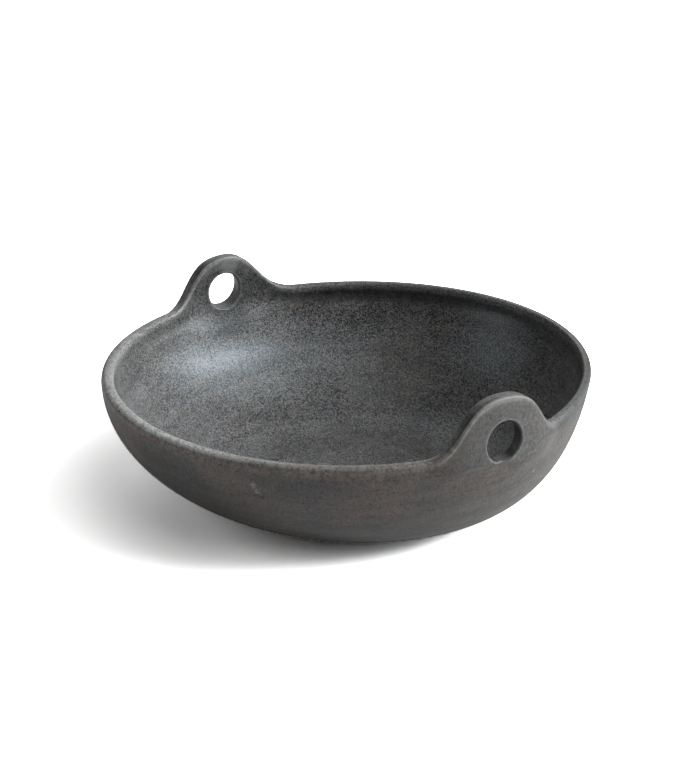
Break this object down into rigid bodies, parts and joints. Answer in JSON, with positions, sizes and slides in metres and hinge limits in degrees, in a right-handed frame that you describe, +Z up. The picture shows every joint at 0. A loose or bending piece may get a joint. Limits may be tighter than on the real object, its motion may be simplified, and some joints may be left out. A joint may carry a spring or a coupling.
{
  "type": "serving bowl",
  "caption": "Wide hand-thrown stoneware serving bowl with a slightly oval rim and bell-shaped lug handles, each pierced with a round hole.",
  "frame": {"origin": "middle of the bowl's bounding box, on the table that its foot ring stands on", "axes": "+X towards lug_handle_right, the lug nearest the camera in the picture, +Y along the longer way across the rim, +Z up"},
  "size_m": [0.2962, 0.311, 0.1127],
  "materials": {
    "glazed_stoneware": "satin charcoal glaze over stoneware, speckled, breaking lighter and brown on rims and edges"
  },
  "bodies": {
    "root": {"bowl_body": "glazed_stoneware", "lug_handle_right": "glazed_stoneware", "lug_handle_left": "glazed_stoneware"}
  },
  "joints": []
}
